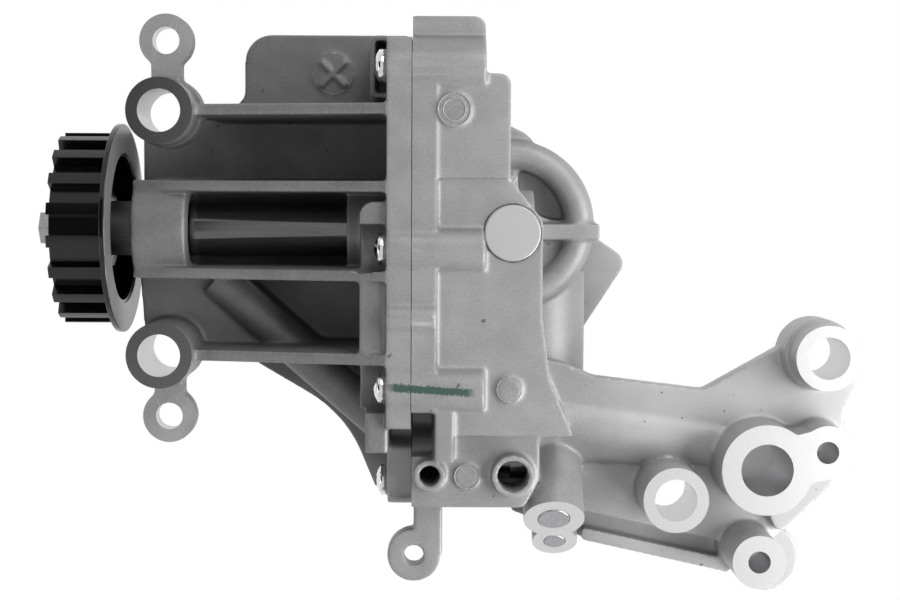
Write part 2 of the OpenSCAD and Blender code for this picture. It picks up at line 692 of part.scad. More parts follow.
module suction_dome_solid() {
    rim_inner_r = dome_r - 2 * dome_rim_r;
    translate([dome_place[0], dome_place[1], 0]) {
        rotate_extrude() {
            translate([dome_r - dome_rim_r, dome_rim_z])
                circle(dome_rim_r);
            polygon([[0, base_z], [dome_r, base_z], [dome_r, dome_rim_z], [rim_inner_r, dome_rim_z],
                     [rim_inner_r, dome_floor_z], [0, dome_floor_z]]);
        }
    }
    slab(suction_flange_outline, base_z, base_z + suction_flange_t);
}

module dome_pocket() {
    intersection() {
        along_z(dome_place, dome_pocket_z, dome_rim_z, dome_r - 2 * dome_rim_r);
        along_z(dome_pocket_place, dome_pocket_z, dome_rim_z, dome_pocket_r);
    }
}

module delivery_duct(x0, x1, r0, r1) {
    translate([duct_x, duct_y, duct_z])
        rotate([0, 90, -duct_turn])
            translate([0, 0, x0])
                cylinder(h = x1 - x0, r1 = r0, r2 = r1);
}

module arm_solid() {
    slab(arm_upper_outline, arm_plate_z - arm_plate_t, arm_plate_z);
    slab(arm_lower_outline, arm_under_z, arm_low_z);
    slab(groove_outline, arm_under_z, groove_z);
    slab(low_rib_outline, arm_under_z, low_rib_z);
    delivery_duct(0, duct_len, duct_r, duct_end_r);
    along_z(outlet_place, outlet_low_z, block_z, outlet_face_r);
    along_z(outlet_bolt_place, arm_under_z, block_z, port_thread_face_r);
    slab(outlet_web_outline, arm_low_z, block_z);
    along_z(low_thread_place, arm_under_z, block_z, port_thread_face_r);
    along_z(corner_place, arm_under_z, corner_z, corner_r);
    along_z(arm_top_boss, arm_under_z, block_z, block_boss_r);
    along_z(arm_top_boss, arm_under_z, arm_boss_step_z, block_boss_r + 1);
    along_z(arm_mid_boss, arm_under_z, block_z, block_boss_r);
    along_z(arm_foot_place, base_z, arm_low_z, foot_r);
}

module neck_solid() {
    translate(neck_place)
        rotate([-90, 0, 0])
            cylinder(h = neck_len, r = neck_r);
}

module pump_body_passages() {
    along_x(seam_x - 1, pocket_x1, outer_rotor_r + pocket_gap, -rotor_offset, 0);
    along_x(pocket_x1 - 1, rear_bore_x1, rear_bush_r);
    for (side = [-1, 1])
        translate([pocket_x1 - 0.1, 0, 0])
            rotate([90, 0, 90])
                linear_extrude(port_depth)
                    kidney(side);
    along_z(core_plug_place, delivery_z - 2.5, body_top_z, core_hole_r);
    along_z(core_plug_place, core_plug_z1 - core_plug_t, body_top_z + far, core_plug_r);
    translate([delivery_x, duct_y - 1, delivery_z])
        rotate([-90, 0, 0])
            cylinder(h = -duct_y, r = delivery_r);
    along_z([delivery_x, duct_y + 1], duct_z, delivery_z, delivery_r - 0.5);
    delivery_duct(-2, duct_len, duct_bore_r, duct_bore_r);
    along_z(outlet_place, duct_z - 5, block_z + 1, outlet_r);
    along_z(suction_place, base_z - 1, suction_bore_z1, suction_r);
    along_x(pocket_x1 + 1, suction_place[0], suction_link_r, suction_link[0], suction_link[1]);
    along_x(seam_x - 1, relief_x1, relief_r, relief_y, relief_z);
    translate([relief_x1 - relief_feed_r, duct_y, duct_z])
        rotate([atan2(duct_y - relief_y, relief_z - duct_z), 0, 0])
            cylinder(h = norm([duct_y - relief_y, relief_z - duct_z]), r = relief_feed_r);
    along_z([vent_x, hole_boss_y], relief_z, hole_boss_z + 1, vent_r);
    along_z([spill_x, hole_boss_y], relief_z, hole_boss_z + 1, spill_r);
    inclined(big_boss_place, -gallery_plug_t - plug_thread_run, 1, big_plug_r);
    inclined(big_boss_place, -big_boss_len, 1, big_plug_r - plug_step);
    inclined(small_boss_place, -gallery_plug_t - plug_thread_run, 1, small_plug_r);
    inclined(small_boss_place, -small_gallery_len, 1, small_plug_r - plug_step);
}

module kidney(side) {
    intersection() {
        difference() {
            circle(r = port_r1);
            circle(r = port_r0);
        }
        polygon([[0, 0], [-far, side * far / 2], [-far, side * far], [far, side * far],
                 [far, side * far / 2]]);
    }
}

module pump_body() color("silver") {
    difference() {
        union() {
            body_block_solid();
            suction_dome_solid();
            arm_solid();
            neck_solid();
            block([dome_place[0], dome_rib_x1], dome_rib_y, dome_rib_z);
            inclined(big_boss_place, -big_boss_len, 0, big_boss_r);
            inclined(small_boss_place, -small_boss_len, 0, small_boss_r);
        }
        pump_body_passages();
        dome_pocket();
        for (i = [0:6])
            along_x(seam_x - 1, thread_x1, screw_r, screw_places[i][0], screw_places[i][1]);
        for (p = dowel_places)
            along_x(seam_x - 1, seam_x + dowel_len / 2, dowel_r, p[0], p[1]);
        for (p = [arm_top_boss, arm_mid_boss]) {
            along_z(p, base_z - 1, block_z + 1, block_hole_r);
            along_z(p, base_z - 1, arm_seat_z, block_boss_r + 1);
        }
        along_z(outlet_bolt_place, block_z - port_thread_depth, block_z + 1, port_thread_r);
        along_z(low_thread_place, block_z - port_thread_depth, block_z + 1, port_thread_r);
        along_z(seam_ear_place, seam_ear_z - ear_t - 1, seam_ear_z + 1, seam_ear_hole_r);
        along_z(arm_foot_place, base_z - 1, base_z + sump_thread_depth, sump_thread_r);
        for (p = suction_thread_places)
            along_z(p, base_z - 1, base_z + suction_flange_t - 1.5, sump_thread_r);
    }
}

module key_shape(x0, len, seat_r, gap) {
    block([x0 - gap, x0 + len + gap], [-key_w / 2 - gap, key_w / 2 + gap],
          [seat_r - key_depth - gap, seat_r - key_depth + key_w + gap]);
}

module tooth_gap() {
    tip_half = band_r * sin(tooth_pitch_angle * (1 - tooth_share) / 2);
    root_half = tip_half * 0.74;
    polygon([[band_r - tooth_depth, -root_half], [band_r + 1, -tip_half],
             [band_r + 1, tip_half], [band_r - tooth_depth, root_half]]);
}

module drive_pulley() color([0.08, 0.08, 0.08]) {
    difference() {
        union() {
            difference() {
                union() {
                    translate([band_x0, 0, 0])
                        rotate([90, 0, 90])
                            linear_extrude(band_w)
                                difference() {
                                    circle(band_r);
                                    for (i = [0:pulley_teeth - 1])
                                        rotate(tooth_phase + i * tooth_pitch_angle)
                                            tooth_gap();
                                }
                    along_x(band_x1 - 1, band_x1 + guide_lip_len, guide_lip_r);
                }
                along_x(band_x0 + pulley_web_t, band_x1 + guide_t + 1, pulley_hollow_r);
            }
            along_x(band_x0, nose_x1, pulley_hub_r);
        }
        along_x(band_x0 - 1, nose_x1 + 1, nose_r + key_gap);
        key_shape(pulley_key_x, pulley_key_len, nose_r, key_gap);
    }
}

module pulley_flange() color([0.25, 0.25, 0.26]) {
    difference() {
        along_x(band_x1, band_x1 + guide_t, guide_r);
        along_x(band_x1 - 1, band_x1 + guide_t + 1, guide_lip_r);
    }
}

module pulley_bolt() color("gainsboro") {
    head_x1 = band_x0 - washer_t;
    translate([head_x1 - bolt_head_h, 0, 0])
        rotate([0, 90, 0])
            cylinder(h = bolt_head_h, r = bolt_flats / 2 / cos(30), $fn = 6);
    along_x(head_x1, head_x1 + bolt_len, bolt_r);
}

module pulley_washer() color("gainsboro") {
    difference() {
        along_x(band_x0 - washer_t, band_x0, washer_r);
        along_x(band_x0 - washer_t - 1, band_x0 + 1, bolt_r + bolt_gap);
    }
}

module pulley_key() color("gray") {
    key_shape(pulley_key_x, pulley_key_len, nose_r, 0);
}

module drive_shaft() color("lightgray") {
    difference() {
        union() {
            along_x(shaft_x0, nose_x1, nose_r);
            along_x(nose_x1, shaft_x1, shaft_r);
        }
        along_x(shaft_x0 - 1, band_x0 - washer_t + bolt_len + 2, bolt_r);
        key_shape(pulley_key_x, pulley_key_len, nose_r, key_gap);
        rotate([rotor_key_turn, 0, 0])
            key_shape(rotor_key_x, rotor_key_len, shaft_r, key_gap);
    }
}

module rotor_key() color("gray") {
    rotate([rotor_key_turn, 0, 0])
        key_shape(rotor_key_x, rotor_key_len, shaft_r, 0);
}

module bush(x0, x1, r) {
    difference() {
        along_x(x0, x1, r);
        along_x(x0 - 1, x1 + 1, shaft_r + shaft_gap);
    }
}

module front_bush() color("darkgoldenrod") {
    bush(front_bush_x0, front_bush_x1, front_bush_r);
}

module rear_bush() color("darkgoldenrod") {
    bush(rear_bush_x0, shaft_x1, rear_bush_r);
}

// Inner rotor outline: the path of an outer lobe's centre, moved inwards by the lobe radius.
// Its points are crowded into the valleys, where the outline runs fastest.
function crowded(b) = b + valley_crowding * sin(inner_lobes * b) * 180 / PI / inner_lobes;
function lobe_path(b) = lobe_ring_r * [cos(b), sin(b)]
    + rotor_offset * [cos(outer_lobes * b), sin(outer_lobes * b)];
function lobe_path_slope(b) = lobe_ring_r * [-sin(b), cos(b)]
    + outer_lobes * rotor_offset * [-sin(outer_lobes * b), cos(outer_lobes * b)];
function inner_point(b) =
    let (t = unit(lobe_path_slope(b)))
    lobe_path(b) + (lobe_r + tip_gap) * [-t[1], t[0]];

module rotor_slab(y) {
    translate([seam_x + end_gap, y, 0])
        rotate([90, 0, 90])
            linear_extrude(pocket_depth - 2 * end_gap)
                rotate(180)
                    children();
}

module inner_rotor() color("slategray") {
    steps = inner_lobes * 30;
    difference() {
        rotor_slab(0)
            polygon([for (i = [0:steps - 1]) inner_point(crowded(full_turn * i / steps))]);
        along_x(seam_x - 1, pocket_x1 + 1, shaft_r + key_gap);
        rotate([rotor_key_turn, 0, 0])
            key_shape(seam_x - 1, pocket_depth + 2, shaft_r, key_gap);
    }
}

module outer_rotor() color("slategray") {
    rotor_slab(-rotor_offset)
        difference() {
            circle(r = outer_rotor_r, $fn = 96);
            difference() {
                circle(r = outer_valley_r);
                for (i = [0:outer_lobes - 1])
                    rotate(i * full_turn / outer_lobes)
                        translate([lobe_ring_r, 0])
                            circle(r = lobe_r);
            }
        }
}

module housing_screw(place) {
    socket_r = 1.35;
    lobe = 0.5;
    head_x0 = seam_flange_x - screw_head_h;
    ball_r = 7;
    difference() {
        union() {
            along_x(seam_flange_x, seam_flange_x + screw_len, screw_r, place[0], place[1]);
            intersection() {
                along_x(head_x0, seam_flange_x, screw_head_r, place[0], place[1]);
                translate([head_x0 + ball_r, place[0], place[1]])
                    sphere(r = ball_r);
            }
        }
        along_x(head_x0 - 1, head_x0 + 2, socket_r, place[0], place[1]);
        for (i = [0:5])
            along_x(head_x0 - 1, head_x0 + 2, lobe,
                    place[0] + socket_r * cos(60 * i), place[1] + socket_r * sin(60 * i));
    }
}

module housing_screws() color("white") {
    for (p = screw_places)
        housing_screw(p);
}

module dowel_pins() color("gray") {
    for (p = dowel_places)
        along_x(seam_x - dowel_len / 2, seam_x + dowel_len / 2, dowel_r, p[0], p[1]);
}

module relief_piston() color("lightgray") {
    land_r = relief_r - relief_gap;
    neck_x0 = piston_x0 + piston_len / 2;
    neck_x1 = neck_x0 + 3;
    along_x(piston_x0, neck_x0, land_r, relief_y, relief_z);
    along_x(neck_x0, neck_x1, land_r - 1.5, relief_y, relief_z);
    along_x(neck_x1, piston_x0 + piston_len, land_r, relief_y, relief_z);
    along_x(piston_x0 + piston_len, relief_x1 - end_gap, land_r / 2, relief_y, relief_z);
}

// A coil swept along a helix, with one ring of points for each step
module relief_spring() color("gray") {
    steps = spring_turns * 14;
    sides = 6;
    run = piston_x0 - spring_x0 - 2 * spring_wire_r;
    ring = function (i)
        let (a = full_turn * spring_turns * i / steps)
        let (mid = [spring_x0 + spring_wire_r + run * i / steps, relief_y + spring_coil_r * cos(a),
                    relief_z + spring_coil_r * sin(a)])
        [for (k = [0:sides - 1])
            let (w = full_turn * k / sides)
            mid + spring_wire_r * (cos(w) * [0, cos(a), sin(a)] + sin(w) * [1, 0, 0])];
    points = [for (i = [0:steps]) for (p = ring(i)) p];
    walls = [for (i = [0:steps - 1]) for (k = [0:sides - 1])
        let (m = (k + 1) % sides)
        [i * sides + k, i * sides + m, (i + 1) * sides + m, (i + 1) * sides + k]];
    polyhedron(points, concat(walls, [[for (k = [0:sides - 1]) sides - 1 - k],
                                      [for (k = [0:sides - 1]) steps * sides + k]]));
}

module relief_spring_seat() color("gray") {
    along_x(seam_x, spring_x0, relief_r - relief_gap, relief_y, relief_z);
}

module core_plug() color("lightgray") {
    along_z(core_plug_place, core_plug_z1 - core_plug_t, core_plug_z1, core_plug_r);
}

module gallery_plug_large() color("lightgray") {
    inclined(big_boss_place, gallery_plug_rise - gallery_plug_t, gallery_plug_rise, big_plug_r);
}

module gallery_plug_small() color("lightgray") {
    inclined(small_boss_place, gallery_plug_rise - gallery_plug_t, gallery_plug_rise, small_plug_r);
}

front_housing();
pump_body();
drive_pulley();
pulley_flange();
pulley_bolt();
pulley_washer();
pulley_key();
drive_shaft();
rotor_key();
front_bush();
rear_bush();
inner_rotor();
outer_rotor();
housing_screws();
dowel_pins();
relief_piston();
relief_spring();
relief_spring_seat();
core_plug();
gallery_plug_large();
gallery_plug_small();
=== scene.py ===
import bpy
import bmesh
import math
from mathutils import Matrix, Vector


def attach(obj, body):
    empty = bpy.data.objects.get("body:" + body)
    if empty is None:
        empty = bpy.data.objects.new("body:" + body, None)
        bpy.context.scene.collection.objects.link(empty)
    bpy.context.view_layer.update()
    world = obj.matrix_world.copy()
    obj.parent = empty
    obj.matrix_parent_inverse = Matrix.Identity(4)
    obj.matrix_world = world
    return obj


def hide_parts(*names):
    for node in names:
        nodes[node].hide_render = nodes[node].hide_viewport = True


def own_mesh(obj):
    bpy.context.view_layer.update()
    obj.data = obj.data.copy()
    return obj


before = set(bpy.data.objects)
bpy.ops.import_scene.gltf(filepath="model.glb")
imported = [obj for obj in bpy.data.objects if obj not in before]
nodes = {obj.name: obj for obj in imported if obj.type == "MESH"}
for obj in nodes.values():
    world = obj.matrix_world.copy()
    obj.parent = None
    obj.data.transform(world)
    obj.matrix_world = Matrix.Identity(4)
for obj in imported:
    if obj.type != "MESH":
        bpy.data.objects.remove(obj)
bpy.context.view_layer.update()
scene = bpy.context.scene
mm = 0.001
print("frame loaded")


# Camera, square over the pump as in the photograph
cameraView = {
    "place": (94.557, 9.578, 440.0), "turn": (-3.7782, -0.4674, 0.2994),
    "lens": 63.6, "sensor": 36, "nearest": 10,
}
camera = bpy.data.objects.new("pumpCamera", bpy.data.cameras.new("pumpCamera"))
scene.collection.objects.link(camera)
camera.data.lens = cameraView["lens"]
camera.data.sensor_width = cameraView["sensor"]
camera.data.clip_start = cameraView["nearest"] * mm
camera.location = Vector(cameraView["place"]) * mm
camera.rotation_euler = [math.radians(turn) for turn in cameraView["turn"]]
scene.camera = camera


# The linear colour of an sRGB hex code
def linearColour(code):
    channels = [int(code[i:i + 2], 16) / 255 for i in (0, 2, 4)]
    return (*(c / 12.92 if c <= 0.04045 else ((c + 0.055) / 1.055) ** 2.4 for c in channels), 1)


def addNode(tree, kind, links=None, inputs=None, **settings):
    node = tree.nodes.new(kind)
    for name, value in settings.items():
        setattr(node, name, value)
    for name, value in (inputs or {}).items():
        node.inputs[name].default_value = value
    for name, source in (links or {}).items():
        tree.links.new(source, node.inputs[name])
    return node


# A math node on one or two values
def calculate(tree, operation, *values):
    node = addNode(tree, "ShaderNodeMath", operation=operation)
    for socket, value in zip(node.inputs, values):
        tree.links.new(value, socket)
    return node.outputs["Value"]


# Moves a value from one span to another, stopping at the ends
def mapRange(tree, value, span, result=(0, 1)):
    inputs = {"From Min": span[0], "From Max": span[1], "To Min": result[0], "To Max": result[1]}
    return addNode(tree, "ShaderNodeMapRange", {"Value": value}, inputs).outputs["Result"]


# Noise whose patches are about the given number of millimetres wide
def noise(tree, place, size, detail, roughness=0.5):
    inputs = {"Scale": 1 / (size * mm), "Detail": detail, "Roughness": roughness}
    return addNode(tree, "ShaderNodeTexNoise", {"Vector": place}, inputs).outputs["Fac"]


def blendValues(tree, first, second, share):
    mix = addNode(tree, "ShaderNodeMix", {"A": first, "B": second}, data_type="FLOAT")
    mix.inputs["Factor"].default_value = share
    return mix.outputs["Result"]


# Lays one plain colour over another where the mask is set
def layColour(tree, under, mask, code):
    mix = addNode(tree, "ShaderNodeMix", {"A": under, "Factor": mask}, data_type="RGBA")
    mix.inputs["B"].default_value = linearColour(code)
    return mix.outputs["Result"]


def darkToPale(tree, value, span, look):
    ramp = addNode(tree, "ShaderNodeValToRGB", {"Fac": value})
    for element, position, code in zip(ramp.color_ramp.elements, span, (look["dark"], look["pale"])):
        element.position = position
        element.color = linearColour(code)
    return ramp.outputs["Color"]


def addBump(tree, shader, height, strength, depth):
    inputs = {"Strength": strength, "Distance": depth * mm}
    bump = addNode(tree, "ShaderNodeBump", {"Height": height}, inputs)
    tree.links.new(bump.outputs["Normal"], shader.inputs["Normal"])


def emptyMaterial(name):
    material = bpy.data.materials.new(name)
    material.use_nodes = True
    material.node_tree.nodes.clear()
    return material, material.node_tree


def startMaterial(name):
    material, tree = emptyMaterial(name)
    place = addNode(tree, "ShaderNodeTexCoord").outputs["Object"]
    shader = addNode(tree, "ShaderNodeBsdfPrincipled")
    addNode(tree, "ShaderNodeOutputMaterial", {"Surface": shader.outputs["BSDF"]})
    return material, tree, place, shader


# A felt-pen check mark drawn across the lowest full screw boss, with frayed edges
penMark = {
    "middle": (93.2, -41.0), "halfSize": (11.8, 1.1), "turn": -3.5, "level": (22, 24),
    "solid": 0.8, "fray": 0.45, "frayGrain": (0.3, 0.7), "ink": "3a524b",
}


def markMask(tree, place, grain):
    local = addNode(tree, "ShaderNodeMapping", {"Vector": place}, vector_type="TEXTURE")
    local.inputs["Location"].default_value = (*(value * mm for value in penMark["middle"]), 0)
    local.inputs["Rotation"].default_value = (0, 0, math.radians(penMark["turn"]))
    local.inputs["Scale"].default_value = (*(value * mm for value in penMark["halfSize"]), mm)
    parts = addNode(tree, "ShaderNodeSeparateXYZ", {"Vector": local.outputs["Vector"]}).outputs
    shift = mapRange(tree, grain, penMark["frayGrain"], (-penMark["fray"], penMark["fray"]))
    across = calculate(tree, "ADD", parts["Y"], shift)
    mask = mapRange(tree, parts["Z"], penMark["level"])
    for offset in (parts["X"], across):
        distance = calculate(tree, "ABSOLUTE", offset)
        mask = calculate(tree, "MULTIPLY", mask, mapRange(tree, distance, (penMark["solid"], 1), (1, 0)))
    return mask


# What both castings share. A span gives the noise or the pointiness between which a layer sets in. The
# pointiness layers paint a highlight on convex edges and shade in the hollows.
castSkin = {
    "grainShare": 0.55, "tones": (0.34, 0.66), "pits": (0.73, 0.77), "edges": (0.53, 0.62),
    "creases": (0.47, 0.4), "creaseShadeTone": "303031", "armLightTone": "c4c4c5", "armLightShare": 0.5,
    "roughGrain": (0.3, 0.7), "roughSpread": 0.07, "cloudBump": 0.35, "bumpDepth": 0.25,
}


# Die-cast aluminium, shot blasted after casting: a fine even grain, soft cloudy patches and small chips,
# with painted light and shade laid over it on convex edges, in hollows and, for the body, along X
def castAluminium(name, look):
    material, tree, place, shader = startMaterial(name)
    cloud = noise(tree, place, look["cloud"], 4, 0.6)
    grain = noise(tree, place, look["grain"], 3, 0.7)
    speck = noise(tree, place, look["speck"], 2)
    tone = darkToPale(tree, blendValues(tree, cloud, grain, castSkin["grainShare"]), castSkin["tones"], look)
    # Painted light: the tone is laid paler along X towards the outlet arm, standing in for the stronger
    # light falling there
    if "paintedArmLight" in look:
        along = addNode(tree, "ShaderNodeSeparateXYZ", {"Vector": place}).outputs["X"]
        span = [value * mm for value in look["paintedArmLight"]]
        paintedArmLight = mapRange(tree, along, span, (0, castSkin["armLightShare"]))
        tone = layColour(tree, tone, paintedArmLight, castSkin["armLightTone"])
    tone = layColour(tree, tone, mapRange(tree, speck, castSkin["pits"]), look["pit"])
    # Painted highlight: convex edges, found by pointiness, are laid paler, partly as rubbed metal and partly
    # as light caught on the rounded edges
    pointed = addNode(tree, "ShaderNodeNewGeometry").outputs["Pointiness"]
    wornAndHighlighted = mapRange(tree, pointed, castSkin["edges"], (0, look["wearAndHighlightShare"]))
    tone = layColour(tree, tone, wornAndHighlighted, look["edge"])
    # Painted shade: concave spots, found by pointiness, are laid darker where shade gathers in corners and
    # hollows
    creaseShadeMask = mapRange(tree, pointed, castSkin["creases"], (0, look["creaseShadeShare"]))
    tone = layColour(tree, tone, creaseShadeMask, castSkin["creaseShadeTone"])
    tone = layColour(tree, tone, markMask(tree, place, grain), penMark["ink"])
    tree.links.new(tone, shader.inputs["Base Color"])
    low, high = look["roughness"] - castSkin["roughSpread"], look["roughness"] + castSkin["roughSpread"]
    tree.links.new(mapRange(tree, grain, castSkin["roughGrain"], (low, high)), shader.inputs["Roughness"])
    height = blendValues(tree, grain, cloud, castSkin["cloudBump"])
    addBump(tree, shader, height, look["bump"], castSkin["bumpDepth"])
    shader.inputs["Metallic"].default_value = look["metallic"]
    return material


housingCast = castAluminium("dieCastAluminiumDark", {
    "cloud": 9, "grain": 0.5, "speck": 2.6, "dark": "6b6b6c", "pale": "878788", "pit": "3a3a3b",
    "edge": "b8b8b9", "wearAndHighlightShare": 0.45, "creaseShadeShare": 0.5, "roughness": 0.5, "bump": 0.35, "metallic": 0.3})
# The pump body's casting has painted light, laid paler along X from 134 to 154 mm towards the arm
bodyCast = castAluminium("dieCastAluminiumBlasted", {
    "cloud": 11, "grain": 0.5, "speck": 2.4, "dark": "848485", "pale": "9f9fa0", "pit": "5e5e60",
    "paintedArmLight": (134, 154), "edge": "d0d0d1", "wearAndHighlightShare": 0.35, "creaseShadeShare": 0.55, "roughness": 0.48, "bump": 0.35,
    "metallic": 0.3})

# What all cut metal shares, with the turned end that the ground shaft has in the pulley
cutSkin = {
    "tones": (0.3, 0.7), "roughSpread": 0.05, "bumpDepth": 0.05, "turnedRough": 0.45, "turnedFade": 0.5,
}


# Metal that a tool has cut or ground: a fine even grain, or lines where the look stretches it along an axis
def cutMetal(name, look):
    material, tree, place, shader = startMaterial(name)
    stretched = addNode(tree, "ShaderNodeMapping", {"Vector": place})
    stretched.inputs["Scale"].default_value = look.get("stretch", (1, 1, 1))
    lines = noise(tree, stretched.outputs["Vector"], look["line"], 3, 0.65)
    tree.links.new(darkToPale(tree, lines, cutSkin["tones"], look), shader.inputs["Base Color"])
    low, high = look["roughness"] - cutSkin["roughSpread"], look["roughness"] + cutSkin["roughSpread"]
    roughness = mapRange(tree, lines, (0, 1), (low, high))
    if "turnedUpTo" in look:
        along = addNode(tree, "ShaderNodeSeparateXYZ", {"Vector": place}).outputs["X"]
        end = look["turnedUpTo"] * mm
        turned = mapRange(tree, along, (end, end + cutSkin["turnedFade"] * mm), (cutSkin["turnedRough"], 0))
        roughness = calculate(tree, "MAXIMUM", roughness, turned)
    tree.links.new(roughness, shader.inputs["Roughness"])
    addBump(tree, shader, lines, look["bump"], cutSkin["bumpDepth"])
    shader.inputs["Metallic"].default_value = look["metallic"]
    return material


milledFace = cutMetal("milledAluminium", {
    "line": 0.4, "dark": "c6c6c7", "pale": "d5d5d6", "roughness": 0.33, "bump": 0.08, "metallic": 0.9})
# Painted shade: a darker copy of the milled aluminium, for milled faces that reflect dark surroundings
shadedMilledFace = cutMetal("milledAluminiumPaintedShade", {
    "line": 0.4, "dark": "626263", "pale": "707071", "roughness": 0.26, "bump": 0.08, "metallic": 0.85})
groundSteel = cutMetal("groundSteelShaft", {
    "stretch": (0.03, 1, 1), "turnedUpTo": 15,
    "line": 0.5, "dark": "5e5e5f", "pale": "707071", "roughness": 0.14, "bump": 0.02, "metallic": 1.0})
turnedSteel = cutMetal("turnedSteel", {
    "line": 0.5, "dark": "8f8f91", "pale": "b4b4b6", "roughness": 0.3, "bump": 0.1, "metallic": 1.0})
zincPlate = cutMetal("brightZincPlatedSteel", {
    "line": 1.2, "dark": "cfd0d2", "pale": "e9eaec", "roughness": 0.09, "bump": 0.03, "metallic": 1.0})
sinteredSteel = cutMetal("sinteredSteel", {
    "line": 0.3, "dark": "5c5c5e", "pale": "7a7a7c", "roughness": 0.45, "bump": 0.2, "metallic": 1.0})
bushBronze = cutMetal("sinteredBronze", {
    "line": 0.3, "dark": "8a6a3c", "pale": "b08c56", "roughness": 0.4, "bump": 0.15, "metallic": 1.0})
pressedPlug = cutMetal("pressedAluminiumDisc", {
    "line": 0.25, "dark": "aaaaab", "pale": "b4b4b5", "roughness": 0.5, "bump": 0.03, "metallic": 0.3})
# Painted reflection: a pale grey that stands for the white which the black flange's face reflects at a
# grazing angle
flangeFaceReflection = cutMetal("flangeFacePaintedReflection", {
    "line": 0.6, "dark": "88888a", "pale": "9a9a9c", "roughness": 0.34, "bump": 0.03, "metallic": 0.5})

coatSkin = {"tones": (0.35, 0.7), "bumpDepth": 0.1}


# Black coating on steel: smooth and glossy, a little dust-grey on it
def blackCoat(name, look):
    material, tree, place, shader = startMaterial(name)
    haze = noise(tree, place, look["haze"], 4)
    tree.links.new(darkToPale(tree, haze, coatSkin["tones"], look), shader.inputs["Base Color"])
    addBump(tree, shader, haze, look["bump"], coatSkin["bumpDepth"])
    shader.inputs["Roughness"].default_value = look["roughness"]
    return material


pulleyBlack = blackCoat("blackCoatedSinteredSteel", {
    "haze": 1.5, "dark": "070708", "pale": "0f0f10", "roughness": 0.2, "bump": 0.03})
flangeBlack = blackCoat("blackCoatedSheetSteel", {
    "haze": 3.0, "dark": "0a0a0b", "pale": "141415", "roughness": 0.13, "bump": 0.02})
print("materials made")


def takeUp(piece):
    if bpy.context.object and bpy.context.object.mode != "OBJECT":
        bpy.ops.object.mode_set(mode="OBJECT")
    bpy.ops.object.select_all(action="DESELECT")
    piece.select_set(True)
    bpy.context.view_layer.objects.active = piece


def applyModifier(piece, kind, **settings):
    modifier = piece.modifiers.new(kind, kind)
    for name, value in settings.items():
        setattr(modifier, name, value)
    takeUp(piece)
    bpy.ops.object.modifier_apply(modifier=modifier.name)


# Runs a mesh operator on the whole of a piece
def editWhole(piece, operator, **settings):
    takeUp(piece)
    bpy.ops.object.mode_set(mode="EDIT")
    bpy.ops.mesh.select_all(action="SELECT")
    operator(**settings)
    bpy.ops.object.mode_set(mode="OBJECT")


def setMaterials(piece, materials):
    piece.data.materials.clear()
    for material in materials:
        piece.data.materials.append(material)


meshing = {
    "joinWithin": 0.002, "stock": 1.2, "facing": 0.999, "levelWithin": 0.02,
    "rodSides": 72, "ringSteps": 80, "wireSteps": 12, "discBevelFrom": 50,
    "flatWithin": 1, "bevelFrom": 30, "softAngle": 35,
}


# A copy of a CAD node's mesh with its loose triangles joined, as the start of a finished piece
def copyOfNode(nodeName, pieceName, *materials):
    piece = bpy.data.objects.new(pieceName, nodes[nodeName].data.copy())
    scene.collection.objects.link(piece)
    setMaterials(piece, materials)
    editWhole(piece, bpy.ops.mesh.remove_doubles, threshold=meshing["joinWithin"] * mm)
    return piece


# Raises the flat faces that look along an axis at one level, as stock for a machined face
def growFaces(piece, axis, level, limits=None):
    direction = Vector(axis)
    takeUp(piece)
    bpy.ops.object.mode_set(mode="EDIT")
    bpy.ops.mesh.select_mode(type="FACE")
    bpy.ops.mesh.select_all(action="DESELECT")
    shape = bmesh.from_edit_mesh(piece.data)
    for face in shape.faces:
        middle = face.calc_center_median() / mm
        near = limits is None or all(low <= middle[i] <= high for i, (low, high) in enumerate(limits))
        facing = face.normal.dot(direction) > meshing["facing"]
        if near and facing and abs(middle.dot(direction) - level) < meshing["levelWithin"]:
            face.select_set(True)
    bmesh.update_edit_mesh(piece.data)
    bpy.ops.mesh.extrude_region_move(TRANSFORM_OT_translate={"value": direction * meshing["stock"] * mm})
    bpy.ops.object.mode_set(mode="OBJECT")


# Closed shapes that a casting is cut with or built up from
def rodCutter(start, end, radius, sides=meshing["rodSides"]):
    start, end = Vector(start) * mm, Vector(end) * mm
    axis = end - start
    bpy.ops.object.select_all(action="DESELECT")
    bpy.ops.mesh.primitive_cylinder_add(
        vertices=sides, radius=radius * mm, depth=axis.length, location=(start + end) / 2,
        rotation=axis.to_track_quat("Z", "Y").to_euler())
    return bpy.context.active_object


def boxCutter(low, high):
    low, high = Vector(low) * mm, Vector(high) * mm
    bpy.ops.object.select_all(action="DESELECT")
    bpy.ops.mesh.primitive_cube_add(size=1, location=(low + high) / 2, scale=high - low)
    return bpy.context.active_object


# A rod along Z for each of a group of equal holes
def uprightRods(bores):
    foot, top = bores["levels"]
    return [rodCutter((*place, foot), (*place, top), bores["radius"]) for place in bores["places"]]


# A disc with a rounded rim, cast proud of a face
def castDisc(place, foot, top, radius, rounding):
    disc = rodCutter((*place, foot), (*place, top), radius)
    applyModifier(disc, "BEVEL", width=rounding * mm, segments=3, limit_method="ANGLE",
                  angle_limit=math.radians(meshing["discBevelFrom"]))
    return disc


def castRing(place, level, radius, thickness):
    bpy.ops.object.select_all(action="DESELECT")
    bpy.ops.mesh.primitive_torus_add(
        location=(place[0] * mm, place[1] * mm, level * mm), major_segments=meshing["ringSteps"],
        minor_segments=meshing["wireSteps"], major_radius=radius * mm, minor_radius=thickness * mm)
    return bpy.context.active_object


